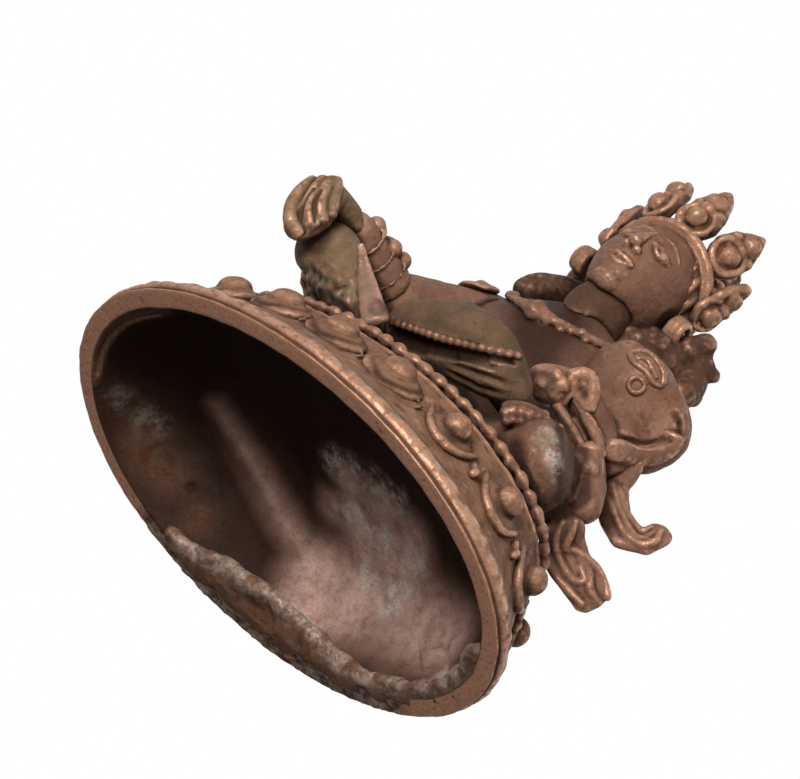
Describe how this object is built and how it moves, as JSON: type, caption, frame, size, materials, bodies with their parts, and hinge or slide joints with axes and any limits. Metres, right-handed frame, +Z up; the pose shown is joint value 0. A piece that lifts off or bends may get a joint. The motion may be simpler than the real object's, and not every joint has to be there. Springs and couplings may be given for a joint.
{
  "type": "cast devotional figure",
  "caption": "Hollow-based cast copper-alloy figure seated at ease on an oval lotus base, with leaf crown, scarf and jewellery; stands on its flat rim.",
  "frame": {"origin": "centre of the oval rim, on the plane the base stands on", "axes": "+Z up through the figure, front towards -Y, the figure's left hand towards +X"},
  "size_m": [0.124, 0.084, 0.134],
  "materials": {
    "base_copper": "worn brown copper alloy",
    "rubbed_copper": "rubbed copper alloy",
    "limb_copper": "worn brown copper alloy",
    "olive_patina": "olive patina on copper alloy",
    "dark_copper": "dark tarnished copper alloy"
  },
  "bodies": {
    "root": {"base_shell": "base_copper", "bead_ring": "rubbed_copper", "bracelet_1": "rubbed_copper", "bracelet_2": "rubbed_copper", "bracelet_3": "rubbed_copper", "bud_stem": "limb_copper", "crown_band": "rubbed_copper", "crown_leaf_front": "rubbed_copper", "crown_leaf_left_fore": "rubbed_copper", "crown_leaf_left_side": "rubbed_copper", "crown_leaf_right_fore": "rubbed_copper", "crown_leaf_right_side": "rubbed_copper", "girdle": "rubbed_copper", "hair": "dark_copper", "hair_bun": "dark_copper", "head": "limb_copper", "hips": "limb_copper", "left_armlet": "rubbed_copper", "left_ear_rosette": "rubbed_copper", "left_foot": "olive_patina", "left_forearm": "limb_copper", "left_hair_lock": "dark_copper", "left_hand": "rubbed_copper", "left_lower_scarf_end": "limb_copper", "left_shawl": "limb_copper", "left_shin": "olive_patina", "left_thigh": "limb_copper", "left_upper_arm": "limb_copper", "left_upper_scarf_end": "limb_copper", "lotus_petal_01": "base_copper", "lotus_petal_02": "base_copper", "lotus_petal_03": "base_copper", "lotus_petal_04": "base_copper", "lotus_petal_05": "base_copper", "lotus_petal_06": "base_copper", "lotus_petal_07": "base_copper", "lotus_petal_08": "base_copper", "lotus_petal_09": "base_copper", "lotus_petal_10": "base_copper", "lotus_petal_11": "base_copper", "lotus_stem": "limb_copper", "neck": "limb_copper", "necklace": "rubbed_copper", "right_armlet": "rubbed_copper", "right_ear_rosette": "rubbed_copper", "right_foot": "olive_patina", "right_forearm": "limb_copper", "right_hair_lock": "dark_copper", "right_hand": "olive_patina", "right_lower_scarf_end": "limb_copper", "right_shawl": "limb_copper", "right_shin": "olive_patina", "right_thigh": "limb_copper", "right_upper_arm": "limb_copper", "right_upper_scarf_end": "limb_copper", "scarf_fold": "limb_copper", "seat_pad": "dark_copper", "shin_hem": "rubbed_copper", "torso": "limb_copper"}
  },
  "joints": []
}
